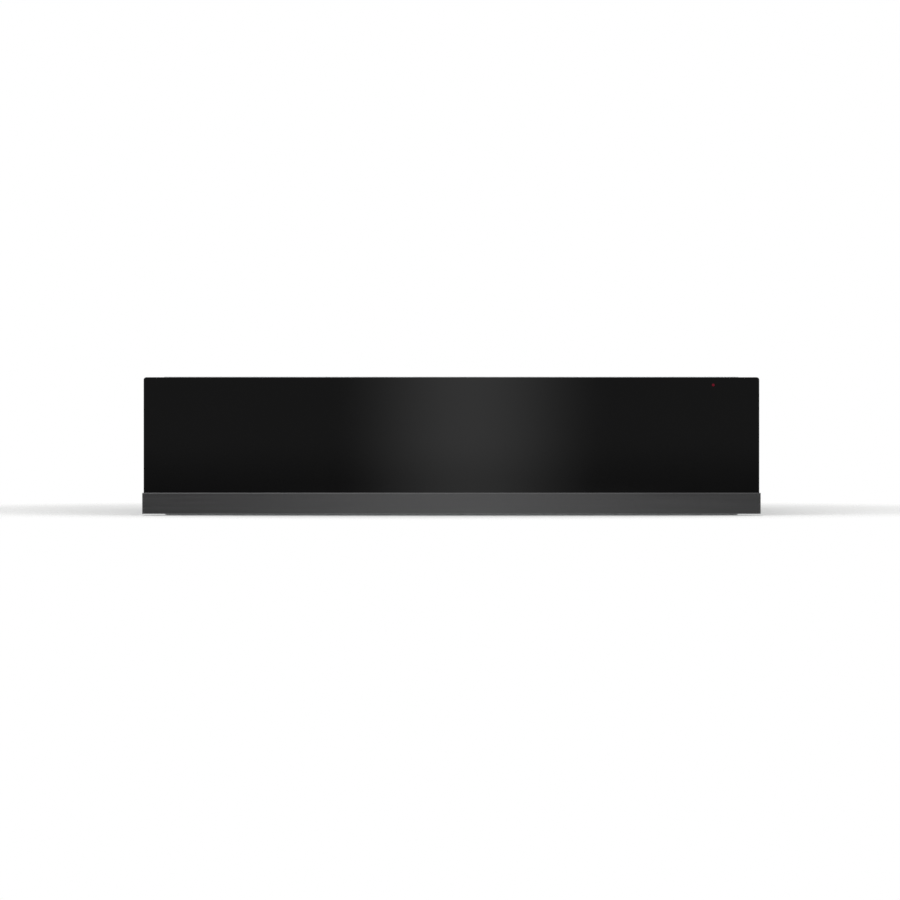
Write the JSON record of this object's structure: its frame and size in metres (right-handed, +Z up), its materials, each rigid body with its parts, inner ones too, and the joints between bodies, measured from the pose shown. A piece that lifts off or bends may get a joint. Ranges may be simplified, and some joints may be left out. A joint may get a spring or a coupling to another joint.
{
  "type": "built in warming drawer",
  "caption": "Handleless built-in warming drawer with a black glass front, full-extension ball slides, steel tray and fan heater.",
  "frame": {"origin": "centre of the casing's underside, on the cabinet shelf", "axes": "+X to the right seen from the front, +Y into the cabinet, +Z up"},
  "size_m": [0.595, 0.5495, 0.134],
  "materials": {
    "galvanised": "galvanised sheet, fine spangle",
    "runner_steel": "bright zinc plate",
    "stainless": "brushed along its length",
    "black_glass": "polished, enamelled black behind",
    "dark_aluminium": "satin anodised, dark grey",
    "black_plastic": "fine moulded grain",
    "grey_plastic": "moulded",
    "white_plastic": "moulded",
    "rubber": "matt",
    "red_lens": "clear red",
    "wool": "pressed mineral wool",
    "element_steel": "heat-tinted sheath",
    "lamination": "stacked sheets",
    "copper": "drawn copper",
    "ball_steel": "ground steel"
  },
  "bodies": {
    "casing": {"casing_base": "galvanised", "casing_rear": "galvanised", "casing_top": "galvanised", "mains_gland": "black_plastic", "terminal_box": "white_plastic", "latch_barrel": "grey_plastic", "runner_outer_left": "runner_steel", "runner_outer_right": "runner_steel", "closing_buffer_lower_left": "rubber", "closing_buffer_lower_right": "rubber", "closing_buffer_upper_left": "rubber", "closing_buffer_upper_right": "rubber"},
    "drawer": {"drawer_frame": "galvanised", "drawer_rear_wall": "galvanised", "warming_tray": "stainless", "floor_insulation": "wool", "anti_slip_mat": "rubber", "control_console": "stainless", "front_carrier": "galvanised", "bonding_tape": "rubber", "glass_front": "black_glass", "trim_strip": "dark_aluminium", "trim_cap_left": "dark_aluminium", "trim_cap_right": "dark_aluminium", "front_bracket_left": "galvanised", "front_bracket_right": "galvanised", "runner_inner_left": "runner_steel", "runner_inner_right": "runner_steel", "pilot_lens": "red_lens", "pilot_lamp": "black_plastic", "thermostat_body": "black_plastic", "thermostat_capillary": "copper", "switch_body": "black_plastic", "fan_grille": "stainless", "air_chamber": "galvanised", "heating_element": "element_steel", "element_flange": "galvanised", "motor_core": "lamination", "motor_coil": "copper", "bearing_bridge_front": "galvanised", "bearing_bridge_rear": "galvanised", "thermal_cutout": "black_plastic", "striker_plate": "galvanised", "drawer_connector": "white_plastic"},
    "middle_left": {"runner_middle_left": "runner_steel"},
    "middle_right": {"runner_middle_right": "runner_steel"},
    "outer_cage_left": {"ball_cage_outer_left": "ball_steel"},
    "outer_cage_right": {"ball_cage_outer_right": "ball_steel"},
    "inner_cage_left": {"ball_cage_inner_left": "ball_steel"},
    "inner_cage_right": {"ball_cage_inner_right": "ball_steel"},
    "knob": {"thermostat_knob": "black_plastic", "thermostat_shaft": "white_plastic"},
    "rocker": {"switch_rocker": "black_plastic"},
    "fan": {"fan_impeller": "stainless", "fan_shaft": "ball_steel", "fan_rotor": "ball_steel"},
    "plunger": {"latch_plunger": "grey_plastic", "plunger_tip": "rubber"}
  },
  "joints": [
    {"name": "drawer_slide", "type": "slide", "parent": "casing", "child": "drawer", "axis": [0, -1, 0], "range_m": [-0.003, 0.43]},
    {"name": "middle_left_slide", "type": "slide", "parent": "casing", "child": "middle_left", "axis": [0, -1, 0], "range_m": [-0.0015, 0.215]},
    {"name": "middle_right_slide", "type": "slide", "parent": "casing", "child": "middle_right", "axis": [0, -1, 0], "range_m": [-0.0015, 0.215]},
    {"name": "outer_cage_left_slide", "type": "slide", "parent": "casing", "child": "outer_cage_left", "axis": [0, -1, 0], "range_m": [-0.00075, 0.1075]},
    {"name": "outer_cage_right_slide", "type": "slide", "parent": "casing", "child": "outer_cage_right", "axis": [0, -1, 0], "range_m": [-0.00075, 0.1075]},
    {"name": "inner_cage_left_slide", "type": "slide", "parent": "casing", "child": "inner_cage_left", "axis": [0, -1, 0], "range_m": [-0.00225, 0.3225]},
    {"name": "inner_cage_right_slide", "type": "slide", "parent": "casing", "child": "inner_cage_right", "axis": [0, -1, 0], "range_m": [-0.00225, 0.3225]},
    {"name": "thermostat_turn", "type": "hinge", "parent": "drawer", "child": "knob", "pos_m": [0.205, -0.24035, 0.11], "axis": [0, 0, -1], "range_deg": [0, 270]},
    {"name": "switch_tilt", "type": "hinge", "parent": "drawer", "child": "rocker", "pos_m": [0.148, -0.24035, 0.1103], "axis": [0, -1, 0], "range_deg": [0, 16]},
    {"name": "fan_spin", "type": "hinge", "parent": "drawer", "child": "fan", "pos_m": [0, 0.18, 0.0612], "axis": [0, 1, 0], "continuous": true},
    {"name": "plunger_press", "type": "slide", "parent": "casing", "child": "plunger", "axis": [0, 1, 0], "range_m": [0, 0.006], "stiffness_N_per_m": 300}
  ],
  "couplings": [
    {"joint": "middle_left_slide", "follows": "drawer_slide", "ratio": 0.5},
    {"joint": "middle_right_slide", "follows": "drawer_slide", "ratio": 0.5},
    {"joint": "outer_cage_left_slide", "follows": "drawer_slide", "ratio": 0.25},
    {"joint": "outer_cage_right_slide", "follows": "drawer_slide", "ratio": 0.25},
    {"joint": "inner_cage_left_slide", "follows": "drawer_slide", "ratio": 0.75},
    {"joint": "inner_cage_right_slide", "follows": "drawer_slide", "ratio": 0.75}
  ]
}
